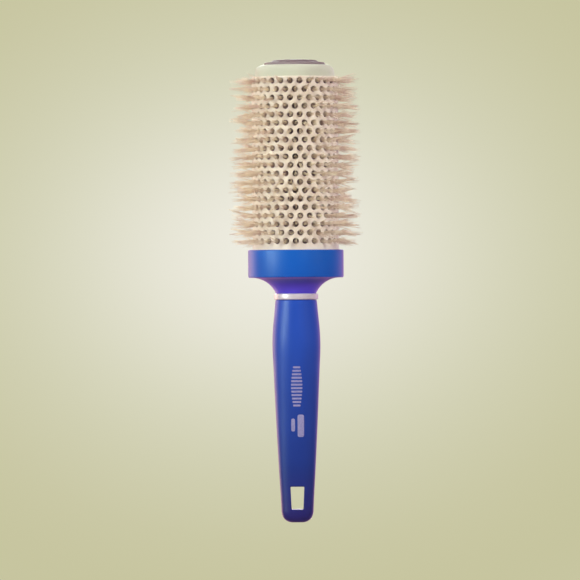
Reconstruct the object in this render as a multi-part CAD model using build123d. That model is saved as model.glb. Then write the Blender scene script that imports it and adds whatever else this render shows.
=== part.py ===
from build123d import *
import math
import os

# A vented round brush for blow-drying hair: a perforated metal barrel over a twisted-in-wire
# bristle core, carried by a moulded collar on a tapered handle with a hanging slot.
# Millimetres. The brush axis is Z, the head is up, the front of the handle faces -Y, and the
# origin is on the axis where the grip is widest.

# --- driving dimensions -------------------------------------------------------------------

BARREL_R = 22.0                  # the 44 mm size of barrel
BARREL_WALL = 0.8
RIM_INNER_R = 19.45              # the barrel's top edge is turned in to this radius
RIM_CORNER_R = 0.5
HOLE_R = 1.5
HOLES_PER_ROW = 28
ROWS = 20
ROW_PITCH = 4.29
LOWEST_ROW_Z = 54.0

HANDLE_END_Z = -89.5
HANDLE_TOP_Z = 24.2
RING_TOP_Z = 27.3                # the ring lies between the handle and the collar
COLLAR_SHOULDER_Z = 35.4         # where the flare meets the collar's cylindrical band
COLLAR_TOP_Z = 49.6
BARREL_SEAT_Z = 44.6             # the ledge in the collar that the barrel stands on
BARREL_TOP_Z = 137.9
CAP_TOP_Z = 143.9
DOME_TOP_Z = 146.8

COLLAR_R = 24.35
NECK_R = 10.1
FLARE_R = 13.4
RING_R = 11.2
CAP_R = 20.26
DOME_R = 15.5

SPIGOT_R = 7.0                   # the collar's spigot, through the ring into the handle
SPIGOT_BOTTOM_Z = 12.7
SLEEVE_R = 3.6
SLEEVE_BOTTOM_Z = -3.0
WIRE_R = 1.1
WIRE_PITCH = 14.0
CORE_R = 2.4                     # clear radius round the two twisted wires
GAP = 0.05                       # radial clearance between round parts that fit together

TIP_R = 33.7                     # reach of the longest bristles
TIP_STEP = 1.3                   # bristle lengths fall off from that by whole steps
TIP_STEPS = 4
TUFT_ROOT_R = 0.45
TUFT_TIP_R = 0.65
HUB_R = 4.8
HUB_THICKNESS = 2.4

HANDLE_TOP_WIDTH = 21.2
# The handle's cross sections: height, full width (X), full depth (Y), and squareness, which
# is 2 for an ellipse and grows towards a rounded rectangle.
HANDLE_SECTIONS = [
    (HANDLE_TOP_Z, HANDLE_TOP_WIDTH, HANDLE_TOP_WIDTH, 2.0),
    (19.0, 22.0, 21.7, 2.0),
    (9.0, 24.0, 22.7, 2.05),
    (0.0, 24.6, 22.7, 2.1),
    (-10.0, 23.7, 21.0, 2.15),
    (-35.0, 21.5, 16.6, 2.3),
    (-60.0, 19.0, 13.2, 2.5),
    (-78.0, 16.9, 11.3, 2.65),
    (HANDLE_END_Z, 15.9, 10.6, 2.7),
]
SECTION_POINTS = 32
HANDLE_END_FILLET = 3.8

SLOT_TOP_Z = -71.25
SLOT_BOTTOM_Z = -82.75
SLOT_TOP_WIDTH = 7.0
SLOT_BOTTOM_WIDTH = 6.0
SLOT_CORNER_R = 0.9
SLOT_BEVEL_START = 4.9           # half depth at which the slot starts to flare at 45 degrees
SLOT_BEVEL = 2.0
HANDLE_TOP_BEVEL = 0.6
RING_EDGE_R = 0.8

COLLAR_EDGE_R = 0.8
LEDGE_R = 19.8                   # inner radius of the ledge under the barrel
BOSS_R = 7.5                     # the collar's inner boss round the stem sleeve
POCKET_FLOOR_Z = 38.0
RIBS = 6
RIB_THICKNESS = 1.6
RIB_TOP_Z = 43.6

CAP_SHOULDER_R = 4.0
CAP_BOTTOM_Z = 137.1             # the cap's short spigot ends level with the rim's inside
CAP_CEILING_Z = 141.6
CAP_SPIGOT_INNER_R = 17.6
CAP_BOSS_R = 8.0
DOME_SEAT_Z = 143.3
WASHER_SEAT_Z = 141.2
WASHER_TOP_Z = 142.0
WASHER_R = 6.0
CRIMP_R = 3.4
CROWN_R = 10.8                   # the dome's raised middle, a slice of a large sphere
CROWN_RISE = 0.45
CRIMP_TOP_Z = 143.2
WIRE_TOP_Z = 142.5
WIRE_BOTTOM_Z = -1.0


# --- helpers ------------------------------------------------------------------------------

def tube(outer_r, inner_r, bottom, top):
    """A round tube on the brush axis between two heights."""
    height = top - bottom
    ring = Circle(outer_r) - Circle(inner_r)
    return Pos(0, 0, bottom) * extrude(ring, height)


def rod(radius, bottom, top):
    """A round rod on the brush axis between two heights."""
    return Pos(0, 0, bottom) * extrude(Circle(radius), top - bottom)


def turned(outline):
    """Turn a closed outline in the XZ plane about the brush axis."""
    return revolve(make_face(outline), Axis.Z)


def path(*points):
    """Straight edges through points given as radius and height."""
    return Polyline(*[(radius, 0, height) for radius, height in points])


def quarter_round(inner_r, top_z, radius):
    """The rounded outer corner of a turned outline, ending at its top."""
    centre_z = top_z - radius
    half = radius * math.sqrt(0.5)
    return ThreePointArc(
        (inner_r + radius, 0, centre_z), (inner_r + half, 0, centre_z + half), (inner_r, 0, top_z)
    )


def row_height(row):
    """Height of a row of holes; row 0 is the lowest."""
    return LOWEST_ROW_Z + row * ROW_PITCH


def row_angles(row):
    """Angles of a row's holes. Every other row is turned by half a pitch."""
    pitch = 360 / HOLES_PER_ROW
    turn = 0.5 * pitch if row % 2 else 0
    return [-90 + turn + pitch * index for index in range(HOLES_PER_ROW)]


def radial(angle, height, distance):
    """A placement whose local Z points outward from the axis, at a distance along it."""
    return Pos(0, 0, height) * Rot(0, 0, angle) * Pos(distance, 0, 0) * Rot(0, 90, 0)


def circles_wider_than(body, radius):
    """The circular edges of a turned body beyond a radius."""
    return [edge for edge in body.edges().filter_by(GeomType.CIRCLE) if edge.radius > radius]


# --- handle -------------------------------------------------------------------------------

def handle_section(height, width, depth, power):
    """A superellipse face across the handle."""
    points = []
    for step in range(SECTION_POINTS):
        angle = 2 * math.pi * step / SECTION_POINTS
        across = math.copysign(abs(math.cos(angle)) ** (2 / power), math.cos(angle))
        along = math.copysign(abs(math.sin(angle)) ** (2 / power), math.sin(angle))
        points.append((width / 2 * across, depth / 2 * along, height))
    return make_face(Spline(*points, periodic=True))


def slot_outline(margin=0):
    """The hanging slot's outline, grown by a margin: it narrows slightly downward."""
    top = (SLOT_TOP_WIDTH / 2 + margin, SLOT_TOP_Z + margin)
    bottom = (SLOT_BOTTOM_WIDTH / 2 + margin, SLOT_BOTTOM_Z - margin)
    corners = [(-top[0], top[1]), top, bottom, (-bottom[0], bottom[1])]
    outline = make_face(Polyline(*corners, close=True))
    return fillet(outline.vertices(), SLOT_CORNER_R + margin)


def slot_cutter():
    """The space of the hanging slot, flaring out at both faces of the handle."""
    cutter = extrude(Plane.XZ * slot_outline(), HANDLE_TOP_WIDTH / 2, both=True)
    back = Plane(origin=(0, 0, 0), x_dir=(-1, 0, 0), z_dir=(0, 1, 0))
    for side in (Plane.XZ, back):
        narrow = side.offset(SLOT_BEVEL_START) * slot_outline()
        wide = side.offset(SLOT_BEVEL_START + SLOT_BEVEL) * slot_outline(SLOT_BEVEL)
        cutter += loft([narrow, wide])
    return cutter


def handle_body():
    """The tapered grip, round at its top and flatter at its end, with the hanging slot."""
    body = loft([handle_section(*section) for section in HANDLE_SECTIONS])
    body -= slot_cutter()
    body = fillet(body.edges().sort_by(Axis.Z)[0], HANDLE_END_FILLET)
    bevel_r = HANDLE_TOP_WIDTH / 2 - HANDLE_TOP_BEVEL
    beyond_r = HANDLE_TOP_WIDTH
    bevel_end = (beyond_r, HANDLE_TOP_Z - (beyond_r - bevel_r))
    body -= turned(
        path((bevel_r, HANDLE_TOP_Z), (beyond_r, HANDLE_TOP_Z), bevel_end, (bevel_r, HANDLE_TOP_Z))
    )
    body -= rod(SPIGOT_R + GAP, SPIGOT_BOTTOM_Z, HANDLE_TOP_Z)
    body -= rod(SLEEVE_R + GAP, SLEEVE_BOTTOM_Z, HANDLE_TOP_Z)
    return body


def ferrule_ring():
    """The thin pale ring between handle and collar."""
    ring = tube(RING_R, SPIGOT_R + GAP, HANDLE_TOP_Z, RING_TOP_Z)
    return fillet(circles_wider_than(ring, SPIGOT_R + 1), RING_EDGE_R)


# --- head ---------------------------------------------------------------------------------

def collar():
    """The moulded collar: a band round the barrel's end, a hollow flare and a spigot."""
    flare_top_r = COLLAR_R - COLLAR_EDGE_R
    centre_r = flare_top_r - 1
    centre_z = COLLAR_SHOULDER_Z - FLARE_R
    middle = math.radians(140)
    flare = ThreePointArc(
        (centre_r, 0, COLLAR_SHOULDER_Z),
        (centre_r + FLARE_R * math.cos(middle), 0, centre_z + FLARE_R * math.sin(middle)),
        (NECK_R, 0, RING_TOP_Z),
    )
    outline = flare + path(
        (NECK_R, RING_TOP_Z),
        (SPIGOT_R, RING_TOP_Z),
        (SPIGOT_R, SPIGOT_BOTTOM_Z),
        (SLEEVE_R + GAP, SPIGOT_BOTTOM_Z),
        (SLEEVE_R + GAP, BARREL_SEAT_Z),
        (BOSS_R, BARREL_SEAT_Z),
        (BOSS_R, POCKET_FLOOR_Z),
        (LEDGE_R, POCKET_FLOOR_Z),
        (LEDGE_R, BARREL_SEAT_Z),
        (BARREL_R + GAP, BARREL_SEAT_Z),
        (BARREL_R + GAP, COLLAR_TOP_Z),
        (COLLAR_R, COLLAR_TOP_Z),
        (COLLAR_R, COLLAR_SHOULDER_Z),
        (centre_r, COLLAR_SHOULDER_Z),
    )
    body = turned(outline)
    body = fillet(circles_wider_than(body, COLLAR_R - 0.01), COLLAR_EDGE_R)
    rib = Box(LEDGE_R - BOSS_R + 1, RIB_THICKNESS, RIB_TOP_Z - POCKET_FLOOR_Z + 1)
    rib_r = (LEDGE_R + BOSS_R) / 2
    rib_z = (RIB_TOP_Z + POCKET_FLOOR_Z - 1) / 2
    for index in range(RIBS):
        body += Rot(0, 0, 360 / RIBS * index) * Pos(rib_r, 0, rib_z) * rib
    return body


def barrel():
    """The vented barrel: a thin tube with its top edge turned in and staggered round holes."""
    body = tube(BARREL_R, BARREL_R - BARREL_WALL, BARREL_SEAT_Z, BARREL_TOP_Z)
    body += tube(BARREL_R - BARREL_WALL, RIM_INNER_R, BARREL_TOP_Z - BARREL_WALL, BARREL_TOP_Z)
    rim = body.edges().filter_by(GeomType.CIRCLE).group_by(Axis.Z)[-1].sort_by(SortBy.RADIUS)[-1]
    body = fillet(rim, RIM_CORNER_R)
    punch = Cylinder(HOLE_R, 4 * BARREL_WALL)
    holes = []
    for row in range(ROWS):
        for angle in row_angles(row):
            holes.append(radial(angle, row_height(row), BARREL_R - BARREL_WALL / 2) * punch)
    return body - holes


def end_cap():
    """The cap on the barrel's turned-in rim, hollow below, recessed on top for the dome."""
    shoulder = quarter_round(CAP_R - CAP_SHOULDER_R, CAP_TOP_Z, CAP_SHOULDER_R)
    outline = shoulder + path(
        (CAP_R - CAP_SHOULDER_R, CAP_TOP_Z),
        (DOME_R + GAP, CAP_TOP_Z),
        (DOME_R + GAP, DOME_SEAT_Z),
        (WASHER_R + GAP, DOME_SEAT_Z),
        (WASHER_R + GAP, WASHER_SEAT_Z),
        (CORE_R, WASHER_SEAT_Z),
        (CORE_R, CAP_BOTTOM_Z),
        (CAP_BOSS_R, CAP_BOTTOM_Z),
        (CAP_BOSS_R, CAP_CEILING_Z),
        (CAP_SPIGOT_INNER_R, CAP_CEILING_Z),
        (CAP_SPIGOT_INNER_R, CAP_BOTTOM_Z),
        (RIM_INNER_R - GAP, CAP_BOTTOM_Z),
        (RIM_INNER_R - GAP, BARREL_TOP_Z),
        (CAP_R, BARREL_TOP_Z),
        (CAP_R, CAP_TOP_Z - CAP_SHOULDER_R),
    )
    return turned(outline)


def tip_dome():
    """The low dome let into the cap's top: a thin rounded flange with a raised crown."""
    flange_z = CAP_TOP_Z + 1.2
    crown_z = DOME_TOP_Z - CROWN_RISE
    sphere_r = (CROWN_R ** 2 + CROWN_RISE ** 2) / (2 * CROWN_RISE)
    middle_z = DOME_TOP_Z - sphere_r + math.sqrt(sphere_r ** 2 - (CROWN_R / 2) ** 2)
    flange_edge = quarter_round(DOME_R - 0.8, flange_z, 0.8)
    crown = ThreePointArc((CROWN_R, 0, crown_z), (CROWN_R / 2, 0, middle_z), (0, 0, DOME_TOP_Z))
    outline = flange_edge + path(
        (DOME_R - 0.8, flange_z), (CROWN_R + 1.6, flange_z + 0.3), (CROWN_R, crown_z)
    ) + crown + path(
        (0, DOME_TOP_Z), (0, DOME_SEAT_Z), (DOME_R, DOME_SEAT_Z), (DOME_R, flange_z - 0.8)
    )
    return turned(outline)


# --- core ---------------------------------------------------------------------------------

def core_wire(turn):
    """One of the two stem wires, twisted together round the brush axis."""
    helix = Helix(WIRE_PITCH, WIRE_TOP_Z - WIRE_BOTTOM_Z, CORE_R - GAP - WIRE_R)
    section = Plane(origin=helix @ 0, z_dir=helix % 0) * Circle(WIRE_R)
    wire = sweep(section, path=helix)
    return Pos(0, 0, WIRE_BOTTOM_Z) * Rot(0, 0, turn) * wire


def bristle_row(row):
    """One row of bristles: packed roots round the wires, and a tuft out through each hole."""
    height = row_height(row)
    bottom = height - HUB_THICKNESS / 2
    roots = tube(HUB_R, CORE_R, bottom, bottom + HUB_THICKNESS)
    start_r = HUB_R - 0.6
    tufts = []
    for index, angle in enumerate(row_angles(row)):
        shortfall = TIP_STEP * ((5 * index + 3 * row) % TIP_STEPS) if index % 7 else 0
        length = TIP_R - shortfall - start_r
        tuft = Cone(TUFT_ROOT_R, TUFT_TIP_R, length)
        tufts.append(radial(angle, height, start_r + length / 2) * tuft)
    return roots + tufts


# --- write every sub-part -----------------------------------------------------------------

def all_parts():
    """Every sub-part by its node's name."""
    parts = {
        "handle_body": handle_body(),
        "ferrule_ring": ferrule_ring(),
        "collar": collar(),
        "barrel": barrel(),
        "end_cap": end_cap(),
        "tip_dome": tip_dome(),
        "cap_washer": tube(WASHER_R, CORE_R, WASHER_SEAT_Z, WASHER_TOP_Z),
        "wire_end_sleeve": tube(CRIMP_R, CORE_R, WASHER_TOP_Z, CRIMP_TOP_Z),
        "stem_sleeve": tube(SLEEVE_R, CORE_R, SLEEVE_BOTTOM_Z, BARREL_SEAT_Z),
        "core_wire_a": core_wire(0),
        "core_wire_b": core_wire(180),
    }
    for row in range(ROWS):
        parts[f"bristle_row_{row + 1:02d}"] = bristle_row(row)
    return parts


os.makedirs("parts", exist_ok=True)
for node, shape in all_parts().items():
    export_step(shape, f"parts/{node}.step")
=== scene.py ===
import math
import random

import bmesh
import bpy
from mathutils import Matrix, Vector, noise


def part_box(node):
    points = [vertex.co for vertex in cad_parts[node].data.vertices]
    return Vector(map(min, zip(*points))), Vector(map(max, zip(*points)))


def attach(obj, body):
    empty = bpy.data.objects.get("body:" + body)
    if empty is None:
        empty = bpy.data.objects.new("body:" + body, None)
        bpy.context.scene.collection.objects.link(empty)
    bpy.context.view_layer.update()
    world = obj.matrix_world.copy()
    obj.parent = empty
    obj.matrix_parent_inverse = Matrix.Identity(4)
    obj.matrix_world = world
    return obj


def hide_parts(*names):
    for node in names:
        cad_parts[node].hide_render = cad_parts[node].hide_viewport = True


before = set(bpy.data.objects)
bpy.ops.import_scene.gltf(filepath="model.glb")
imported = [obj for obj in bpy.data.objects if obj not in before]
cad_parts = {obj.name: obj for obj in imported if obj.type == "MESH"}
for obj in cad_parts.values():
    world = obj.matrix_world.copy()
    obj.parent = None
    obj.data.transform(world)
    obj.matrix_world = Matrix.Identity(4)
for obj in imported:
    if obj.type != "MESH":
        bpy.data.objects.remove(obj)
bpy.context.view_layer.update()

# A vented round hair brush. Lengths are in metres. The brush axis is Z, the head is up and the
# front of the handle faces -Y. Sizes come from the CAD nodes' boxes.

MM = 0.001
WELD = 0.0005 * MM               # points closer than this are one point


# --- sizes read from the frame ------------------------------------------------------------

def bottom_of(node):
    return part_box(node)[0].z


def top_of(node):
    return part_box(node)[1].z


def radius_of(node):
    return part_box(node)[1].x


ROWS = sorted(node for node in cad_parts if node.startswith("bristle_row_"))
ROW_Z = [(bottom_of(node) + top_of(node)) / 2 for node in ROWS]
HOLES_PER_ROW = 28
HOLE_R = 1.5 * MM

HANDLE_TOP = top_of("handle_body")
HANDLE_END = bottom_of("handle_body")
COLLAR_TOP = top_of("collar")
COLLAR_R = radius_of("collar")
BARREL_R = radius_of("barrel")
BARREL_TOP = top_of("barrel")
BARREL_BOTTOM = bottom_of("barrel")
BARREL_WALL = 0.8 * MM
BARREL_RIM_R = 19.45 * MM
CORE_R = 2.4 * MM                # clear radius round the two stem wires
TIP_R = radius_of(ROWS[0])
SPIGOT_R = 7.0 * MM              # the collar's spigot, through the ring into the handle
SLEEVE_R = 3.6 * MM
GAP = 0.05 * MM                  # radial clearance between round parts that fit together
SEGMENTS = 160                   # flats round a turned piece


def row_angles(row):
    """The angles of a row's holes in radians; every other row is turned by half a pitch."""
    pitch = 2 * math.pi / HOLES_PER_ROW
    turn = pitch / 2 if row % 2 else 0
    return [-math.pi / 2 + turn + pitch * index for index in range(HOLES_PER_ROW)]


# --- materials ----------------------------------------------------------------------------

def linear(red, green, blue):
    """A colour given in 8-bit sRGB as linear RGBA."""
    channels = []
    for value in (red, green, blue):
        share = value / 255
        channels.append(share / 12.92 if share <= 0.04045 else ((share + 0.055) / 1.055) ** 2.4)
    return (*channels, 1.0)


class Surface:
    """A Principled material with short calls for the procedural nodes that it needs."""

    def __init__(self, name, **sockets):
        self.material = bpy.data.materials.new(name)
        self.material.use_nodes = True
        self.tree = self.material.node_tree
        self.shader = self.tree.nodes["Principled BSDF"]
        for socket, value in sockets.items():
            self.shader.inputs[socket.replace("_", " ")].default_value = value
        self.position = self.tree.nodes.new("ShaderNodeTexCoord").outputs["Object"]

    def link(self, source, target):
        self.tree.links.new(source, target)

    def noise(self, scale, detail=3.0, stretch=(1, 1, 1)):
        """Noise over the object's own coordinates; scale is in cells for each metre."""
        mapping = self.tree.nodes.new("ShaderNodeMapping")
        mapping.inputs["Scale"].default_value = stretch
        self.link(self.position, mapping.inputs["Vector"])
        node = self.tree.nodes.new("ShaderNodeTexNoise")
        node.inputs["Scale"].default_value = scale
        node.inputs["Detail"].default_value = detail
        self.link(mapping.outputs["Vector"], node.inputs["Vector"])
        return node.outputs["Fac"]

    def ramp(self, factor, *stops):
        """A colour ramp over a factor; each stop is (position, colour)."""
        node = self.tree.nodes.new("ShaderNodeValToRGB")
        elements = node.color_ramp.elements
        while len(elements) < len(stops):
            elements.new(0.5)
        for element, (position, colour) in zip(elements, stops):
            element.position = position
            element.color = colour
        self.link(factor, node.inputs["Fac"])
        return node.outputs["Color"]

    def spread(self, factor, low, high, from_low=0.3, from_high=0.7):
        """A factor mapped to a range of values; the usual noise lies between 0.3 and 0.7."""
        node = self.tree.nodes.new("ShaderNodeMapRange")
        node.inputs["From Min"].default_value = from_low
        node.inputs["From Max"].default_value = from_high
        node.inputs["To Min"].default_value = low
        node.inputs["To Max"].default_value = high
        self.link(factor, node.inputs["Value"])
        return node.outputs["Result"]

    def rise(self, low, high):
        """A factor that goes from 0 to 1 between two heights on the brush."""
        apart = self.tree.nodes.new("ShaderNodeSeparateXYZ")
        self.link(self.position, apart.inputs["Vector"])
        return self.spread(apart.outputs["Z"], 0, 1, low, high)

    def reach(self, low, high):
        """A factor that goes from 0 to 1 between two distances from the brush axis."""
        flat = self.tree.nodes.new("ShaderNodeVectorMath")
        flat.operation = "MULTIPLY"
        flat.inputs[1].default_value = (1, 1, 0)
        length = self.tree.nodes.new("ShaderNodeVectorMath")
        length.operation = "LENGTH"
        self.link(self.position, flat.inputs[0])
        self.link(flat.outputs["Vector"], length.inputs[0])
        return self.spread(length.outputs["Value"], 0, 1, low, high)

    def product(self, first, second):
        """Two colours multiplied."""
        node = self.tree.nodes.new("ShaderNodeVectorMath")
        node.operation = "MULTIPLY"
        self.link(first, node.inputs[0])
        self.link(second, node.inputs[1])
        return node.outputs["Vector"]

    def shade(self, colour, factor, low, high):
        """A colour made darker or lighter by a factor."""
        node = self.tree.nodes.new("ShaderNodeVectorMath")
        node.operation = "SCALE"
        self.link(colour, node.inputs["Vector"])
        self.link(self.spread(factor, low, high), node.inputs["Scale"])
        return node.outputs["Vector"]

    def paint(self, colour):
        """The base colour."""
        self.link(colour, self.shader.inputs["Base Color"])

    def polish(self, factor, low, high):
        """Roughness that varies between two values."""
        self.link(self.spread(factor, low, high), self.shader.inputs["Roughness"])

    def bump(self, height, distance, strength):
        """Fine relief in the shading only."""
        node = self.tree.nodes.new("ShaderNodeBump")
        node.inputs["Strength"].default_value = strength
        node.inputs["Distance"].default_value = distance
        self.link(height, node.inputs["Height"])
        self.link(node.outputs["Normal"], self.shader.inputs["Normal"])


# --- mesh helpers -------------------------------------------------------------------------

class Shape:
    """Points and faces gathered for one piece."""

    def __init__(self):
        self.points = []
        self.faces = []

    def ring(self, points):
        """Adds a loop of points and returns their numbers."""
        start = len(self.points)
        self.points.extend(points)
        return list(range(start, len(self.points)))

    def bridge(self, lower, upper):
        """Quads between two closed loops of the same length, facing away from the axis."""
        for index in range(len(lower)):
            after = (index + 1) % len(lower)
            self.faces.append((lower[index], lower[after], upper[after], upper[index]))

    def piece(self, name, material, slot, replaces=(), sharp=40.0):
        """The finished object: closed, smooth, riding on the brush, in its CAD nodes' place."""
        mesh = bpy.data.meshes.new(name)
        mesh.from_pydata(self.points, [], self.faces)
        work = bmesh.new()
        work.from_mesh(mesh)
        bmesh.ops.remove_doubles(work, verts=work.verts, dist=WELD)
        unused = [point for point in work.verts if not point.link_faces]
        bmesh.ops.delete(work, geom=unused, context="VERTS")
        bmesh.ops.recalc_face_normals(work, faces=work.faces)
        work.to_mesh(mesh)
        work.free()
        mesh.polygons.foreach_set("use_smooth", [True] * len(mesh.polygons))
        if sharp < 180:
            mesh.set_sharp_from_angle(angle=math.radians(sharp))
        mesh.materials.append(material)
        piece = bpy.data.objects.new(name, mesh)
        bpy.context.scene.collection.objects.link(piece)
        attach(piece, "root")
        if replaces:
            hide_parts(*replaces)
        return piece


def polar(radius, angle, height):
    """A point at a radius, an angle about the brush axis and a height."""
    return (radius * math.cos(angle), radius * math.sin(angle), height)


def arc(centre, radius, start, end, steps):
    """Points (radius, height) on an arc of an outline, between two angles in degrees."""
    points = []
    for step in range(steps + 1):
        angle = math.radians(start + (end - start) * step / steps)
        points.append((centre[0] + radius * math.cos(angle), centre[1] + radius * math.sin(angle)))
    return points


def rounded(corners, steps=5):
    """A closed outline through corners given as (radius, height) or (radius, height, fillet)."""
    outline = []
    for index, corner in enumerate(corners):
        here = Vector(corner[:2])
        if len(corner) < 3:
            outline.append(tuple(here))
            continue
        before = (Vector(corners[index - 1][:2]) - here).normalized()
        after = (Vector(corners[(index + 1) % len(corners)][:2]) - here).normalized()
        half = before.angle(after) / 2
        centre = here + (before + after).normalized() * corner[2] / math.sin(half)
        first = here + before * corner[2] / math.tan(half) - centre
        turn = first.angle_signed(here + after * corner[2] / math.tan(half) - centre)
        for step in range(steps + 1):
            arm = Matrix.Rotation(-turn * step / steps, 2) @ first
            outline.append(tuple(centre + arm))
    return outline


def turned(name, outline, material, slot, replaces, sharp=40.0):
    """A piece turned about the brush axis from a closed outline, listed anticlockwise."""
    shape = Shape()
    loops = []
    angles = [2 * math.pi * step / SEGMENTS for step in range(SEGMENTS)]
    for radius, height in outline:
        if radius < WELD:
            loops.append(shape.ring([(0, 0, height)]))
            continue
        loops.append(shape.ring([polar(radius, angle, height) for angle in angles]))
    for index, loop in enumerate(loops):
        after = loops[(index + 1) % len(loops)]
        if len(loop) == 1 and len(after) == 1:
            continue
        if len(loop) == 1 or len(after) == 1:
            for step in range(SEGMENTS):
                beyond = (step + 1) % SEGMENTS
                if len(after) == 1:
                    shape.faces.append((loop[step], loop[beyond], after[0]))
                else:
                    shape.faces.append((loop[0], after[beyond], after[step]))
            continue
        shape.bridge(loop, after)
    shape.piece(name, material, slot, replaces, sharp=sharp)


# --- turned pieces ------------------------------------------------------------------------

def make_collar(material):
    """The collar: round band, concave flare, hidden spigot, and the recess round the barrel."""
    neck_z = top_of("ferrule_ring")
    neck_r, flare_r = 10.1 * MM, 13.4 * MM
    shoulder_z = 35.4 * MM
    seat_z, pocket_z = BARREL_BOTTOM, 38.0 * MM
    spigot_z = bottom_of("collar")
    bore_r, boss_r, ledge_r = SLEEVE_R + GAP, 7.5 * MM, 19.8 * MM
    socket_r = BARREL_R + GAP
    flare_end = 158.0            # degrees: where the flare's arc runs into the neck
    centre_r = neck_r - flare_r * math.cos(math.radians(flare_end))
    flare = arc((centre_r, shoulder_z - flare_r), flare_r, 90, flare_end, 24)
    flare[-1] = (neck_r, neck_z)
    outline = rounded([
        (neck_r, neck_z, 0.25 * MM),
        *flare[-2:0:-1],
        (centre_r, shoulder_z),
        (COLLAR_R, shoulder_z, 0.8 * MM),
        (COLLAR_R, COLLAR_TOP, 0.7 * MM),
        (socket_r, COLLAR_TOP, 0.25 * MM),
        (socket_r, seat_z),
        (ledge_r, seat_z),
        (ledge_r, pocket_z),
        (boss_r, pocket_z),
        (boss_r, seat_z),
        (bore_r, seat_z),
        (bore_r, spigot_z),
        (SPIGOT_R, spigot_z, 0.4 * MM),
        (SPIGOT_R, neck_z),
    ])
    turned("collar_shell", outline, material, "collar_blue", ["collar"])


def make_ring(material):
    """The pale trim ring between handle and collar, with soft edges."""
    low, high = bottom_of("ferrule_ring"), top_of("ferrule_ring")
    radius, inner = radius_of("ferrule_ring"), SPIGOT_R + GAP
    edge = 0.6 * MM
    outline = rounded([(inner, low), (radius, low, edge), (radius, high, edge), (inner, high)], 8)
    turned("trim_ring", outline, material, "ring_silver", ["ferrule_ring"])


def make_cap(material):
    """The ivory end cap with its broad shoulder and the recess for the dome."""
    low, high = bottom_of("end_cap"), top_of("end_cap")
    cap_r, spigot_r = radius_of("end_cap"), BARREL_RIM_R - GAP
    dome_r, dome_z = radius_of("tip_dome") + GAP, bottom_of("tip_dome")
    washer_r, washer_z = radius_of("cap_washer") + GAP, bottom_of("cap_washer")
    ceiling_z, boss_r, wall_r = 141.6 * MM, 8.0 * MM, 17.6 * MM
    shoulder = 4.0 * MM
    outline = rounded([
        (CORE_R, low),
        (boss_r, low),
        (boss_r, ceiling_z),
        (wall_r, ceiling_z),
        (wall_r, low),
        (spigot_r, low),
        (spigot_r, BARREL_TOP),
        (cap_r, BARREL_TOP, 0.25 * MM),
        (cap_r, high, shoulder),
        (dome_r, high, 0.2 * MM),
        (dome_r, dome_z),
        (washer_r, dome_z),
        (washer_r, washer_z),
        (CORE_R, washer_z),
    ], steps=10)
    turned("end_cap_shell", outline, material, "cap_ivory", ["end_cap"])


def make_dome(material):
    """The low mauve dome: a thin flange and a raised crown."""
    low, high = bottom_of("tip_dome"), top_of("tip_dome")
    flange_r, flange_z = radius_of("tip_dome"), top_of("end_cap") + 1.2 * MM
    crown_r, rise = 10.8 * MM, 0.45 * MM
    sphere_r = (crown_r ** 2 + rise ** 2) / (2 * rise)
    crown, steps = [], 8
    for step in range(1, steps + 1):
        radius = crown_r * (1 - step / steps)
        crown.append((radius, high - sphere_r + math.sqrt(sphere_r ** 2 - radius ** 2)))
    outline = rounded([
        (0, low),
        (flange_r, low),
        (flange_r, flange_z, 0.7 * MM),
        (crown_r + 1.6 * MM, flange_z + 0.3 * MM, 1.0 * MM),
        (crown_r, high - rise, 0.6 * MM),
        *crown,
    ])
    turned("tip_dome_shell", outline, material, "dome_purple", ["tip_dome"], sharp=60.0)


# --- barrel -------------------------------------------------------------------------------

CELL_SIDE_STEPS = 4              # edges on each side of the six-sided cell round a hole
HOLE_BEVEL = 0.22 * MM
TOP_CELL_MARGIN = 0.55 * MM      # plain band between the top cells and the barrel's top edge
LOW_CELL_MARGIN = 0.6 * MM       # and between the lowest cells and the collar


def cell_outline(half_width, pitch):
    """Points round the six-sided cell of a hole, in the unrolled barrel's plane."""
    half = half_width ** 2
    tip = (half + pitch ** 2) / (2 * pitch)
    side = (pitch ** 2 - half) / (2 * pitch)
    corners = [
        (half_width, -side), (half_width, side), (0, tip),
        (-half_width, side), (-half_width, -side), (0, -tip),
    ]
    points = []
    for index, (x, z) in enumerate(corners):
        next_x, next_z = corners[(index + 1) % len(corners)]
        for step in range(CELL_SIDE_STEPS):
            share = step / CELL_SIDE_STEPS
            points.append((x + (next_x - x) * share, z + (next_z - z) * share))
    return points, side


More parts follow.
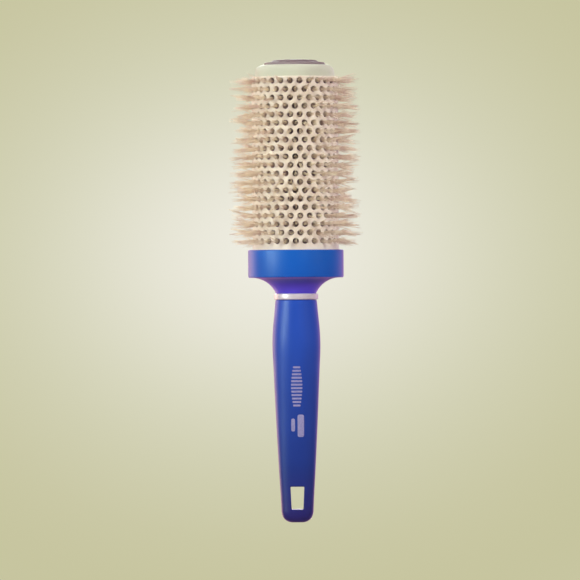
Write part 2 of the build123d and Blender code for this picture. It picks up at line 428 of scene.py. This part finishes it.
def make_barrel(material):
    """The vented barrel: every hole has a soft rim and sits in its own six-sided cell."""
    shape = Shape()
    pitch = (ROW_Z[-1] - ROW_Z[0]) / (len(ROWS) - 1)
    cell, side = cell_outline(math.pi * BARREL_R / HOLES_PER_ROW, pitch)
    inner_r = BARREL_R - BARREL_WALL
    bevel = [math.radians(angle) for angle in (90, 45, 0)]
    rims = [(HOLE_R + HOLE_BEVEL * (1 - math.cos(a)), BARREL_R - HOLE_BEVEL * (1 - math.sin(a)))
            for a in bevel]
    rims.append((HOLE_R, inner_r))
    ledge = BARREL_TOP - ROW_Z[-1] - TOP_CELL_MARGIN
    hem = ROW_Z[0] - COLLAR_TOP - LOW_CELL_MARGIN

    def on_barrel(radius, x, z, angle, height):
        return polar(radius, angle + x / BARREL_R, height + z)

    for row in range(len(ROWS)):
        edge = []
        for x, z in cell:
            if row == len(ROWS) - 1 and z >= side - WELD:
                z = ledge
            if row == 0 and z <= -side + WELD:
                z = -hem
            edge.append((x, z))
        for angle in row_angles(row):
            height = ROW_Z[row]
            outer = shape.ring([on_barrel(BARREL_R, x, z, angle, height) for x, z in edge])
            last = outer
            for radius, depth_r in rims:
                points = []
                for x, z in cell:
                    share = radius / math.hypot(x, z)
                    points.append(on_barrel(depth_r, x * share, z * share, angle, height))
                loop = shape.ring(points)
                shape.bridge(last, loop)
                last = loop
            inner = shape.ring([on_barrel(inner_r, x, z, angle, height) for x, z in edge])
            shape.bridge(last, inner)
    barrel_ends(shape, ROW_Z[-1] + ledge, ROW_Z[0] - hem)
    shape.piece("barrel_shell", material, "barrel_coating", ["barrel"], sharp=50)


def end_loop(shape, row, radius, height):
    """A loop round the barrel with a point wherever the end row's cells have one."""
    steps = 2 * CELL_SIDE_STEPS
    pitch = 2 * math.pi / HOLES_PER_ROW
    angles = []
    for angle in row_angles(row):
        angles.extend(angle - pitch / 2 + pitch * step / steps for step in range(steps))
    return shape.ring([polar(radius, angle, height) for angle in angles])


def barrel_ends(shape, top_z, bottom_z):
    """The plain bands: the top edge turned in under the cap, the lower end in the collar."""
    inner_r = BARREL_R - BARREL_WALL
    corner = 0.5 * MM
    rim = arc((BARREL_R - corner, BARREL_TOP - corner), corner, 0, 90, 4)
    top = [(BARREL_R, top_z), *rim, (BARREL_RIM_R, BARREL_TOP),
           (BARREL_RIM_R, BARREL_TOP - BARREL_WALL), (inner_r, BARREL_TOP - BARREL_WALL),
           (inner_r, top_z)]
    bottom = [(inner_r, bottom_z), (inner_r, BARREL_BOTTOM), (BARREL_R, BARREL_BOTTOM),
              (BARREL_R, bottom_z)]
    for row, outline in ((len(ROWS) - 1, top), (0, bottom)):
        loops = [end_loop(shape, row, radius, height) for radius, height in outline]
        for lower, upper in zip(loops, loops[1:]):
            shape.bridge(lower, upper)


# --- handle -------------------------------------------------------------------------------

# Height, full width, full depth and squareness of the grip's cross sections, as in the CAD.
HANDLE_SECTIONS = [
    (HANDLE_TOP / MM, 21.2, 21.2, 2.0),
    (19.0, 22.0, 21.7, 2.0),
    (9.0, 24.0, 22.7, 2.05),
    (0.0, 24.6, 22.7, 2.1),
    (-10.0, 23.7, 21.0, 2.15),
    (-35.0, 21.5, 16.6, 2.3),
    (-60.0, 19.0, 13.2, 2.5),
    (-78.0, 16.9, 11.3, 2.65),
    (HANDLE_END / MM, 15.9, 10.6, 2.7),
]
SLOT_TOP, SLOT_BOTTOM = -71.25 * MM, -82.75 * MM
SLOT_TOP_HALF, SLOT_BOTTOM_HALF = 3.5 * MM, 3.0 * MM
SLOT_COLUMNS = 8                 # faces across the handle's front between the slot's sides
SIDE_COLUMNS = 9                 # points from just beside the slot to the handle's side
SLOT_ROWS = 6
GRIP_ROWS = 26
SUPPORT = 0.7 * MM               # how close the loops that keep the slot's rim tight lie
END_CORNER_R = 5.1 * MM


def handle_section(height):
    """Half width, half depth and squareness at a height, smoothly through the sections."""
    sections = [(z * MM, w / 2 * MM, d / 2 * MM, p) for z, w, d, p in HANDLE_SECTIONS]
    last = len(sections) - 1
    index = next((i for i in range(last) if height >= sections[i + 1][0]), last - 1)
    upper, lower = sections[index], sections[index + 1]
    above, below = sections[max(index - 1, 0)], sections[min(index + 2, last)]
    span = lower[0] - upper[0]
    share = (height - upper[0]) / span
    values = []
    for column in (1, 2, 3):
        slope_up = (lower[column] - above[column]) / (lower[0] - above[0])
        slope_down = (below[column] - upper[column]) / (below[0] - upper[0])
        square, cube = share ** 2, share ** 3
        values.append(
            (2 * cube - 3 * square + 1) * upper[column]
            + (cube - 2 * square + share) * span * slope_up
            + (3 * square - 2 * cube) * lower[column]
            + (cube - square) * span * slope_down
        )
    return values


def slot_half_width(height):
    """Half the slot's width at a height, wider towards its top, and as at its ends past them."""
    share = (height - SLOT_BOTTOM) / (SLOT_TOP - SLOT_BOTTOM)
    half = SLOT_BOTTOM_HALF + (SLOT_TOP_HALF - SLOT_BOTTOM_HALF) * share
    return min(max(half, SLOT_BOTTOM_HALF), SLOT_TOP_HALF)


def front_columns(height, inset=0.0):
    """Points (x, depth) across the handle's front, from left to right, at a height."""
    half_width, half_depth, power = handle_section(height)
    half_depth *= 1 - inset / half_width
    half_width -= inset
    slot = min(slot_half_width(height), 0.45 * half_width)
    slot_angle = math.asin((slot / half_width) ** (power / 2))
    beside = math.asin(((slot + SUPPORT) / half_width) ** (power / 2))
    angles = [slot_angle * (2 * step / SLOT_COLUMNS - 1) for step in range(SLOT_COLUMNS + 1)]
    right = [beside + (math.pi / 2 - beside) * step / (SIDE_COLUMNS - 1)
             for step in range(SIDE_COLUMNS)]
    angles = [-angle for angle in reversed(right)] + angles + right
    points = []
    for angle in angles:
        across = math.copysign(abs(math.sin(angle)) ** (2 / power), angle)
        points.append((half_width * across, half_depth * max(math.cos(angle), 0) ** (2 / power)))
    return points


def handle_rows():
    """Heights of the cage's rows from the top down, with how far each is drawn in."""
    rows = [(HANDLE_TOP, 0.6 * MM), (HANDLE_TOP - 0.25 * MM, 0.2 * MM), (HANDLE_TOP - 0.7 * MM, 0)]
    start, end = HANDLE_TOP - 3 * MM, SLOT_TOP + 2 * MM
    rows += [(start + (end - start) * row / GRIP_ROWS, 0) for row in range(GRIP_ROWS + 1)]
    rows += [(SLOT_TOP + SUPPORT, 0), (SLOT_TOP, 0), (SLOT_TOP - SUPPORT, 0)]
    fall = (SLOT_BOTTOM - SLOT_TOP) / SLOT_ROWS
    rows += [(SLOT_TOP + fall * row, 0) for row in range(1, SLOT_ROWS)]
    rows += [(SLOT_BOTTOM + SUPPORT, 0), (SLOT_BOTTOM, 0), (SLOT_BOTTOM - SUPPORT, 0)]
    for angle in (0, 22, 42, 60, 76, 90):
        turn = math.radians(angle)
        height = HANDLE_END + END_CORNER_R * (1 - math.sin(turn))
        rows.append((height, END_CORNER_R * (1 - math.cos(turn))))
    return rows


def make_handle(material):
    """The grip as a cage for subdivision, with the hanging slot's walls joining its faces."""
    shape = Shape()
    rows = handle_rows()
    columns = SLOT_COLUMNS + 1 + 2 * SIDE_COLUMNS
    first, last = SIDE_COLUMNS, SIDE_COLUMNS + SLOT_COLUMNS
    fronts, backs = [], []
    for height, inset in rows:
        points = front_columns(height, inset)
        front = shape.ring([(x, -depth, height) for x, depth in points])
        middle = shape.ring([(x, depth, height) for x, depth in points[1:-1]])
        fronts.append(front)
        backs.append([front[0], *middle, front[-1]])
    in_slot = [SLOT_BOTTOM - WELD <= height <= SLOT_TOP + WELD for height, inset in rows]
    for row in range(len(rows) - 1):
        open_row = in_slot[row] and in_slot[row + 1]
        for column in range(columns - 1):
            if open_row and first <= column < last:
                continue
            after = column + 1
            shape.faces.append((fronts[row][column], fronts[row + 1][column],
                                fronts[row + 1][after], fronts[row][after]))
            shape.faces.append((backs[row][after], backs[row + 1][after],
                                backs[row + 1][column], backs[row][column]))
    slot_rows = [row for row, inside in enumerate(in_slot) if inside]
    slot_walls(shape, fronts, backs, slot_rows, first, last)
    for column in range(columns - 1):
        corners = (fronts[-1][column], backs[-1][column],
                   backs[-1][column + 1], fronts[-1][column + 1])
        shape.faces.append(tuple(dict.fromkeys(corners)))
    handle_bore(shape, fronts[0], backs[0])
    piece = shape.piece("handle_grip", material, "handle_blue", ["handle_body"], sharp=180)
    subdivision = piece.modifiers.new("smooth", "SUBSURF")
    subdivision.levels = subdivision.render_levels = 2


def slot_walls(shape, fronts, backs, rows, first, last):
    """The slot's four inner walls, between the loops round its mouths."""
    top, bottom = rows[0], rows[-1]
    loop = [(top, column) for column in range(first, last)]
    loop += [(row, last) for row in rows[:-1]]
    loop += [(bottom, column) for column in range(last, first, -1)]
    loop += [(row, first) for row in rows[:0:-1]]
    front = [fronts[row][column] for row, column in loop]
    back = [backs[row][column] for row, column in loop]
    last_loop = front
    for share in (0.1, 0.5, 0.9):
        points = []
        for near, far in zip(front, back):
            a, b = Vector(shape.points[near]), Vector(shape.points[far])
            points.append(tuple(a.lerp(b, share)))
        inner = shape.ring(points)
        shape.bridge(last_loop, inner)
        last_loop = inner
    shape.bridge(last_loop, back)


def handle_bore(shape, front, back):
    """The top face and the stepped bore that takes the collar's spigot and the stem sleeve."""
    loop = front + back[-2:0:-1]
    wide, narrow = SPIGOT_R + GAP, SLEEVE_R + GAP
    ledge_z, floor_z = bottom_of("collar"), bottom_of("stem_sleeve")
    hold = 0.5 * MM              # how close to an edge the loop that keeps it tight lies
    outline = [(wide, HANDLE_TOP), (wide, HANDLE_TOP - hold), (wide, ledge_z + hold),
               (wide, ledge_z), (narrow, ledge_z), (narrow, floor_z + hold), (narrow, floor_z)]
    for radius, height in outline:
        points = []
        for number in loop:
            x, y = shape.points[number][:2]
            share = radius / math.hypot(x, y)
            points.append((x * share, y * share, height))
        inner = shape.ring(points)
        shape.bridge(loop, inner)
        loop = inner
    shape.faces.append(tuple(loop))


def front_surface(x, z):
    """The handle's front at a place across it and a height."""
    half_width, half_depth, power = handle_section(z)
    return -half_depth * (1 - abs(x / half_width) ** power) ** (1 / power)


def print_block(shape, left, right, top, bottom, corner):
    """A thin raised patch of ink with rounded corners that follows the handle's front."""
    lift, sink, edge = 0.035 * MM, 0.05 * MM, 0.04 * MM
    column = 0.5 * MM
    middle, half = (top + bottom) / 2, (top - bottom) / 2
    rounding = [math.radians(angle) for angle in (0, 22.5, 45, 67.5, 90)]
    ends = [(corner * (1 - math.cos(a)), half - corner * (1 - math.sin(a))) for a in rounding]
    straight = right - left - 2 * corner
    steps = max(2, round(straight / column))
    columns = [(left + inset, height) for inset, height in ends]
    columns += [(left + corner + straight * step / steps, half) for step in range(1, steps)]
    columns += [(right - inset, height) for inset, height in reversed(ends)]
    loops = []
    for x, height in columns:
        flat = height - edge
        profile = [
            (-height, -sink), (-height, 0.6 * lift), (-flat, lift), (-flat / 2, lift), (0, lift),
            (flat / 2, lift), (flat, lift), (height, 0.6 * lift), (height, -sink),
        ]
        loops.append(shape.ring([
            (x, front_surface(x, middle + z) - depth, middle + z) for z, depth in profile
        ]))
    for lower, upper in zip(loops, loops[1:]):
        shape.bridge(lower, upper)
    shape.faces.append(tuple(loops[-1]))
    shape.faces.append(tuple(reversed(loops[0])))


def make_print(material):
    """A generic pad print in place of lettering: a comb of short bars and two plain bars."""
    shape = Shape()
    comb_top, comb_bottom, bars = -9.8 * MM, -31.0 * MM, 12
    pitch = (comb_top - comb_bottom) / bars
    shortest, swell = 1.7 * MM, 1.2 * MM
    for index in range(bars):
        top = comb_top - pitch * index
        reach = shortest + swell * math.sin(math.pi * (index + 0.5) / bars)
        print_block(shape, -reach, reach, top, top - 0.55 * pitch, 0.3 * MM)
    print_block(shape, 0.3 * MM, 3.6 * MM, -34.4 * MM, -45.8 * MM, 1.0 * MM)
    print_block(shape, -2.9 * MM, -1.0 * MM, -36.4 * MM, -43.0 * MM, 0.8 * MM)
    shape.piece("handle_print", material, "ring_silver", sharp=50)


# --- bristles -----------------------------------------------------------------------------

SEED = 44
CLUMPS_PER_HOLE = 3              # bundles that share a heading and a length
STRANDS_PER_CLUMP = 3
LOOSE_PER_HOLE = 5               # shorter filaments that fan out between the rows
STRAND_SIDES = 5
STRAND_R = 0.14 * MM
STRAND_TAPER = 0.35              # how much thinner a filament is at its tip
TIP_ROUNDING = 0.55              # width of the very tip as a share of that
SHORTEST_TIP_R = 25.0 * MM
LOOSE_FAN = 0.42                 # the most that a loose filament slopes along the brush
TUFT_SAG = 0.35 * MM
LOOSE_SAG = 0.5 * MM
CLUMP_SPREAD = 0.7               # share of a hole's radius that the clumps' middles keep to
CLUMP_GATHER = 0.4               # how far a clump's filaments draw together in the hole

# In millimetres.
LONGEST_SPARE = (0.1, 0.6)       # how far past TIP_R the longest tufts go
CLUMP_SHORT = 4.5                # the most that a clump falls short of its tuft
STRAND_SHORT = 1.2               # the most that a filament falls short of its clump
LOOSE_EXTRA = (0, 6, 1.5)        # past SHORTEST_TIP_R: least, most and commonest

PATCH_SIZE = 9 * MM              # how far tufts that lie the same way reach
PATCH_LEAN = (0.16, 0.42)        # the most they lean sideways and along the brush
WORN_SIZE = 6 * MM               # how far tufts worn to the same length reach
WORN_AWAY = 6 * MM
WEAR_LEVEL, WEAR_CONTRAST = 0.1, 2.5


def strand(shape, points, radius):
    """One tapered filament with a rounded tip along a few points."""
    loops = []
    count = len(points)
    for index, point in enumerate(points):
        along = points[min(index + 1, count - 1)] - points[max(index - 1, 0)]
        across = along.cross(Vector((0, 0, 1))).normalized()
        upward = across.cross(along).normalized()
        width = radius * (1 - STRAND_TAPER * index / (count - 1))
        if index == count - 1:
            width *= TIP_ROUNDING
        loop = []
        for side in range(STRAND_SIDES):
            angle = 2 * math.pi * side / STRAND_SIDES
            loop.append(tuple(point + across * width * math.cos(angle)
                              + upward * width * math.sin(angle)))
        loops.append(shape.ring(loop))
    for lower, upper in zip(loops, loops[1:]):
        shape.bridge(lower, upper)
    shape.faces.append(tuple(loops[-1]))
    shape.faces.append(tuple(reversed(loops[0])))


def scatter(amount):
    """A small random vector, the same in every direction."""
    return Vector([random.gauss(0, amount) for axis in range(3)])


def hole_point(angle, height, spot):
    """A random place across a hole, in the middle of the barrel's wall."""
    wall_r = BARREL_R - BARREL_WALL / 2
    turn = random.uniform(0, 2 * math.pi)
    return Vector(polar(wall_r, angle + spot * math.cos(turn) / wall_r,
                        height + spot * math.sin(turn)))


def root_of(hole, height):
    """Where a filament through a hole leaves the twisted core."""
    angle = math.atan2(hole.y, hole.x) + random.gauss(0, 0.08)
    return Vector(polar(CORE_R + 0.5 * MM, angle, height + random.gauss(0, 0.6) * MM))


def filament(shape, height, hole, tip, sag):
    """A filament from the core, through its place in the hole, to its tip."""
    root = root_of(hole, height)
    points = [root, root.lerp(hole, 0.55) + sag * 0.4, hole]
    for share in (0.35, 0.7, 1.0):
        points.append(hole.lerp(tip, share) + sag * (share - share ** 2))
    strand(shape, points, STRAND_R * random.uniform(0.85, 1.1))


def tuft_lie(angle, height):
    """How a tuft leans and how far it reaches: neighbours bunch together and wear alike."""
    place = Vector(polar(BARREL_R, angle, height))
    sideways, upward = noise.noise_vector(place / PATCH_SIZE)[:2]
    lean = Vector(polar(PATCH_LEAN[0] * sideways, angle + math.pi / 2, PATCH_LEAN[1] * upward))
    wear = min(max(WEAR_LEVEL + WEAR_CONTRAST * noise.noise(place / WORN_SIZE), 0), 1)
    return lean, TIP_R + random.uniform(*LONGEST_SPARE) * MM - wear * WORN_AWAY


def make_bristles(material):
    """Filaments from the twisted core out through the holes, uneven in length and lie."""
    random.seed(SEED)
    noise.seed_set(SEED)         # noise_vector's offsets come from the clock without it
    free_r = HOLE_R - 1.4 * STRAND_R
    for row, node in enumerate(ROWS):
        shape = Shape()
        height = ROW_Z[row]
        for angle in row_angles(row):
            outward = Vector(polar(1, angle, 0))
            lean, tuft_r = tuft_lie(angle, height)
            for clump in range(CLUMPS_PER_HOLE):
                spot = CLUMP_SPREAD * free_r * math.sqrt(random.random())
                centre = hole_point(angle, height, spot)
                reach = tuft_r - random.random() ** 3 * CLUMP_SHORT * MM - BARREL_R
                meeting = centre + (outward + lean + scatter(0.05)) * reach
                for index in range(STRANDS_PER_CLUMP):
                    hole = hole_point(angle, height, free_r * math.sqrt(random.random()))
                    hole = hole.lerp(centre, CLUMP_GATHER)
                    tip = meeting + (hole - centre) * 1.1 + scatter(0.2 * MM)
                    tip -= outward * random.random() ** 2 * STRAND_SHORT * MM
                    filament(shape, height, hole, tip, scatter(TUFT_SAG))
            for index in range(LOOSE_PER_HOLE):
                hole = hole_point(angle, height, free_r * math.sqrt(random.random()))
                fan = Vector((0, 0, random.uniform(-LOOSE_FAN, LOOSE_FAN)))
                heading = (outward + scatter(0.07) + fan).normalized()
                loose_r = SHORTEST_TIP_R + random.triangular(*LOOSE_EXTRA) * MM
                tip = hole + heading * (loose_r - BARREL_R)
                filament(shape, height, hole, tip, scatter(LOOSE_SAG))
        shape.piece(f"bristles_{row + 1:02d}", material, "bristle_nylon", [node], sharp=180)


# --- finishes -----------------------------------------------------------------------------

def blue_plastic(name, low, high, *stops):
    """Satin moulded plastic with orange peel and rub marks; its colour ramp by height paints shade,
    darker towards the lower end.
    """
    surface = Surface(name, Specular_IOR_Level=0.42, Specular_Tint=(0.8, 1.0, 1.0, 1.0),
                      Sheen_Weight=0.9, Sheen_Roughness=0.32, Sheen_Tint=linear(222, 160, 222))
    # The colour ramp by height is painted shade: darker and more violet towards the lower end,
    # where less light falls.
    colour = surface.ramp(surface.rise(low, high), *stops)
    surface.paint(surface.shade(colour, surface.noise(38, 2.0), 0.94, 1.06))
    marks = surface.noise(420, 4.0, (1, 1, 0.12))
    surface.polish(marks, 0.34, 0.42)
    surface.bump(surface.noise(900, 2.0), 0.02 * MM, 0.25)
    return surface.material


def ivory_coating():
    """The barrel's ceramic coating: satin, with a fine grain and faint warm drift."""
    surface = Surface("ivory_ceramic", Specular_IOR_Level=0.35, Diffuse_Roughness=0.6)
    drift = surface.noise(130, 3.0)
    surface.paint(surface.ramp(drift, (0.35, linear(231, 222, 200)), (0.65, linear(240, 234, 215))))
    surface.polish(surface.noise(1500, 2.0), 0.42, 0.55)
    surface.bump(surface.noise(4200, 2.0), 0.01 * MM, 0.3)
    return surface.material


def ivory_plastic():
    """The cap's moulded plastic, a little greener and duller than the coating."""
    surface = Surface("ivory_plastic", Specular_IOR_Level=0.35, Diffuse_Roughness=1.0)
    drift = surface.noise(90, 3.0)
    surface.paint(surface.ramp(drift, (0.3, linear(208, 212, 188)), (0.7, linear(214, 218, 194))))
    surface.polish(surface.noise(700, 3.0), 0.5, 0.6)
    surface.bump(surface.noise(2600, 2.0), 0.01 * MM, 0.3)
    return surface.material


def mauve_plastic():
    """The dome's dull mauve plastic."""
    surface = Surface("mauve_plastic", Specular_IOR_Level=0.2)
    drift = surface.noise(160, 3.0)
    surface.paint(surface.ramp(drift, (0.3, linear(137, 123, 124)), (0.7, linear(151, 138, 134))))
    surface.polish(surface.noise(800, 3.0), 0.5, 0.6)
    surface.bump(surface.noise(1800, 2.0), 0.01 * MM, 0.2)
    return surface.material


def pale_metal():
    """The ring's pale satin trim, with fine lines round it."""
    surface = Surface("pale_metal", Metallic=0.3, Coat_Weight=0.3, Coat_Roughness=0.15)
    lines = surface.noise(6000, 3.0, (0.06, 0.06, 1))
    surface.paint(surface.ramp(lines, (0.3, linear(214, 208, 206)), (0.7, linear(226, 221, 220))))
    surface.polish(lines, 0.3, 0.35)
    surface.bump(lines, 0.004 * MM, 0.1)
    return surface.material


def drawn_steel():
    """The wires, sleeves and washer inside, with fine lines along them."""
    surface = Surface("drawn_steel", Metallic=1.0)
    lines = surface.noise(1800, 3.0, (1, 1, 0.1))
    surface.paint(surface.ramp(lines, (0.3, linear(150, 148, 145)), (0.7, linear(188, 186, 182))))
    surface.polish(lines, 0.25, 0.45)
    return surface.material


def pale_ink():
    """The pad print's chalky ink."""
    surface = Surface("pale_ink")
    speckle = surface.noise(2600, 3.0)
    surface.paint(surface.ramp(speckle, (0.3, linear(128, 128, 168)), (0.7, linear(158, 156, 188))))
    surface.polish(speckle, 0.4, 0.6)
    return surface.material


def nylon():
    """Tan filaments whose tone drifts from tuft to tuft, with painted shade down at the core: dull
    and mauve towards the axis.
    """
    surface = Surface("tan_nylon", Specular_IOR_Level=0.3)
    grain = surface.noise(150, 2.0)
    tan = surface.ramp(grain, (0.36, linear(228, 206, 184)), (0.5, linear(238, 224, 194)),
                       (0.64, linear(248, 238, 210)))
    # Painted shade: the filaments turn dull mauve towards the core, where they lie in the barrel's
    # shade.
    root = surface.ramp(surface.reach(14 * MM, 22 * MM), (0.0, linear(196, 168, 216)),
                        (1.0, linear(255, 255, 255)))
    surface.paint(surface.product(tan, root))
    surface.polish(grain, 0.4, 0.55)
    return surface.material


# --- stage --------------------------------------------------------------------------------

VIEW_WIDTH = 296.0 * MM          # what the camera takes in across its frame, at the brush
VIEW_CENTRE = Vector((-3.1 * MM, 0, 29.1 * MM))
CAMERA_DISTANCE = 4.0
CAMERA_ROLL = math.radians(-0.39)
SENSOR_WIDTH = 36.0
STAGE_R = 5.0
STAGE_SEGMENTS = 96
FLOOR_Z = -3.6
STAGE_BEND = 0.8                 # radius of the bend between the floor and the wall
CEILING_Z = 6.0
LIT_CENTRE = Vector((0, 0, 58 * MM))     # where the lights point: between head and handle

# The wall's painted pool of light, with painted shade round it: how far its middle lies from the
# middle of the view and its half sizes, as shares of the view's width, and its colours by distance
# from the middle.
GLOW_SHIFT = (-0.033, 0.068)
GLOW_HALF = (0.41, 0.315)
GLOW_END = 4.0
GLOW_STOPS = [
    (0.0, (240, 238, 227)), (0.4, (233, 231, 217)), (0.8, (219, 218, 195)),
    (1.2, (208, 207, 177)), (1.6, (202, 200, 165)), (2.15, (196, 194, 154)),
    (3.0, (208, 207, 178)), (4.0, (219, 218, 196)),
]


def make_camera():
    """A long lens square on to the front of the brush, rolled a touch as the brush leans."""
    data = bpy.data.cameras.new("camera")
    camera = bpy.data.objects.new("camera", data)
    bpy.context.scene.collection.objects.link(camera)
    data.sensor_width = SENSOR_WIDTH
    data.lens = SENSOR_WIDTH * CAMERA_DISTANCE / VIEW_WIDTH
    data.clip_end = 4 * STAGE_R
    camera.location = VIEW_CENTRE + Vector((0, -CAMERA_DISTANCE, 0))
    level = Matrix.Rotation(math.radians(90), 4, "X")
    camera.rotation_euler = (level @ Matrix.Rotation(CAMERA_ROLL, 4, "Z")).to_euler()
    bpy.context.scene.camera = camera


def make_stage():
    """A plain pale floor that curves up into a round wall and over into a ceiling."""
    shape = Shape()
    bend = arc((STAGE_R - STAGE_BEND, FLOOR_Z + STAGE_BEND), STAGE_BEND, -90, 0, 16)
    outline = [(0.5, FLOOR_Z), (2.0, FLOOR_Z), *bend, (STAGE_R, CEILING_Z), (0.5, CEILING_Z)]
    angles = [-2 * math.pi * step / STAGE_SEGMENTS for step in range(STAGE_SEGMENTS)]
    loops = [shape.ring([polar(radius, angle, height) for angle in angles])
             for radius, height in outline]
    for lower, upper in zip(loops, loops[1:]):
        shape.bridge(lower, upper)
    shape.faces.append(tuple(reversed(loops[0])))
    shape.faces.append(tuple(loops[-1]))
    mesh = bpy.data.meshes.new("backdrop")
    mesh.from_pydata(shape.points, [], shape.faces)
    mesh.polygons.foreach_set("use_smooth", [True] * len(mesh.polygons))
    backdrop = bpy.data.objects.new("backdrop", mesh)
    bpy.context.scene.collection.objects.link(backdrop)
    mesh.materials.append(backdrop_paint())
    backdrop.visible_diffuse = False
    backdrop.visible_glossy = False
    backdrop.visible_transmission = False
    backdrop.visible_shadow = False


def backdrop_paint():
    """Self-lit pale paint with a soft painted pool of light on the wall behind the brush, and
    painted shade round it.
    """
    material = bpy.data.materials.new("backdrop_paint")
    material.use_nodes = True
    tree = material.node_tree
    tree.nodes.clear()
    position = tree.nodes.new("ShaderNodeTexCoord").outputs["Object"]
    place = tree.nodes.new("ShaderNodeMapping")
    place.vector_type = "TEXTURE"
    seen = VIEW_WIDTH * (STAGE_R + CAMERA_DISTANCE) / CAMERA_DISTANCE
    middle = Vector((GLOW_SHIFT[0] * seen, STAGE_R, GLOW_SHIFT[1] * seen)) + VIEW_CENTRE
    place.inputs["Location"].default_value = middle
    place.inputs["Scale"].default_value = (GLOW_HALF[0] * seen, STAGE_R, GLOW_HALF[1] * seen)
    length = tree.nodes.new("ShaderNodeVectorMath")
    length.operation = "LENGTH"
    share = tree.nodes.new("ShaderNodeMath")
    share.operation = "DIVIDE"
    share.inputs[1].default_value = GLOW_END
    ramp = tree.nodes.new("ShaderNodeValToRGB")
    ramp.color_ramp.interpolation = "B_SPLINE"
    elements = ramp.color_ramp.elements
    while len(elements) < len(GLOW_STOPS):
        elements.new(0.5)
    for element, (radius, colour) in zip(elements, GLOW_STOPS):
        element.position = radius / GLOW_END
        element.color = linear(*colour)
    glow = tree.nodes.new("ShaderNodeEmission")
    output = tree.nodes.new("ShaderNodeOutputMaterial")
    tree.links.new(position, place.inputs["Vector"])
    tree.links.new(place.outputs["Vector"], length.inputs[0])
    tree.links.new(length.outputs["Value"], share.inputs[0])
    tree.links.new(share.outputs["Value"], ramp.inputs["Fac"])
    tree.links.new(ramp.outputs["Color"], glow.inputs["Color"])
    tree.links.new(glow.outputs["Emission"], output.inputs["Surface"])
    return material


def softbox(name, azimuth, height, distance, size, power, colour, spread=180, mirrored=True):
    """An area light round the brush; azimuth 0 is the camera's side, growing to its left."""
    light = bpy.data.lights.new(name, "AREA")
    light.shape = "RECTANGLE"
    light.size, light.size_y = size
    light.energy = power
    light.color = colour
    light.spread = math.radians(spread)
    lamp = bpy.data.objects.new(name, light)
    bpy.context.scene.collection.objects.link(lamp)
    lamp.visible_glossy = mirrored
    turn = math.radians(azimuth)
    lamp.location = (-distance * math.sin(turn), -distance * math.cos(turn), height)
    facing = LIT_CENTRE - lamp.location
    lamp.rotation_euler = facing.to_track_quat("-Z", "Y").to_euler()


def make_lights():
    """Soft light pooled on the head from the front and left, with faint violet fill."""
    world = bpy.data.worlds.new("studio")
    bpy.context.scene.world = world
    world.use_nodes = True
    background = world.node_tree.nodes["Background"]
    background.inputs["Color"].default_value = (1.0, 0.66, 0.86, 1.0)
    background.inputs["Strength"].default_value = 0.32
    softbox("key", 60, 0.28, 0.95, (1.0, 0.6), 1.25, (0.89, 1.0, 0.95), 40)
    softbox("front", -20, 0.50, 1.3, (0.5, 0.4), 0.34, (0.96, 1.0, 0.98), 20, mirrored=False)
    softbox("front_right", -52, 0.25, 1.0, (0.6, 0.6), 0.16, (0.93, 0.88, 1.0), 30, mirrored=False)
    softbox("back", 176, 0.45, 1.3, (0.6, 0.5), 0.3, (0.92, 1.0, 0.94), 24)
    softbox("left_rim", 135, 0.05, 0.8, (0.6, 0.8), 3.6, (1.0, 0.62, 0.46))
    softbox("right_rim", -140, 0.05, 0.8, (0.6, 0.8), 0.9, (1.0, 0.5, 1.0))


def dress_frame(finishes):
    """Gives every CAD piece its finish: the steel core that shows, and those a piece replaces."""
    for node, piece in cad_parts.items():
        finish = next(finishes[start] for start in finishes if node.startswith(start))
        for slot in piece.material_slots:
            slot.material = finish


def main():
    make_camera()
    make_stage()
    make_lights()
    steel = drawn_steel()
    finishes = {
        # The handle's stops paint shade: darker and violet towards its end, where less light falls.
        "handle_body": blue_plastic(
            "handle_blue", HANDLE_END, HANDLE_TOP, (0.0, linear(40, 33, 100)),
            (0.26, linear(27, 55, 131)), (0.74, linear(33, 71, 160)), (0.95, linear(32, 76, 174)),
        ),
        # The collar's lowest stop paints shade: the downward-facing flare in violet, as it lies in
        # shade.
        "collar": blue_plastic(
            "collar_blue", HANDLE_TOP, COLLAR_TOP, (0.3, linear(88, 72, 205)),
            (0.47, linear(10, 88, 178)), (1.0, linear(12, 92, 180)),
        ),
        "ferrule_ring": pale_metal(),
        "end_cap": ivory_plastic(),
        "tip_dome": mauve_plastic(),
        "barrel": ivory_coating(),
        "bristle_row": nylon(),
        "core_wire": steel,
        "stem_sleeve": steel,
        "cap_washer": steel,
        "wire_end_sleeve": steel,
    }
    dress_frame(finishes)
    make_collar(finishes["collar"])
    make_ring(finishes["ferrule_ring"])
    make_cap(finishes["end_cap"])
    make_dome(finishes["tip_dome"])
    make_barrel(finishes["barrel"])
    make_handle(finishes["handle_body"])
    make_print(pale_ink())
    make_bristles(finishes["bristle_row"])
    bpy.context.scene.view_settings.view_transform = "Standard"
    bpy.context.scene.view_settings.look = "None"


main()
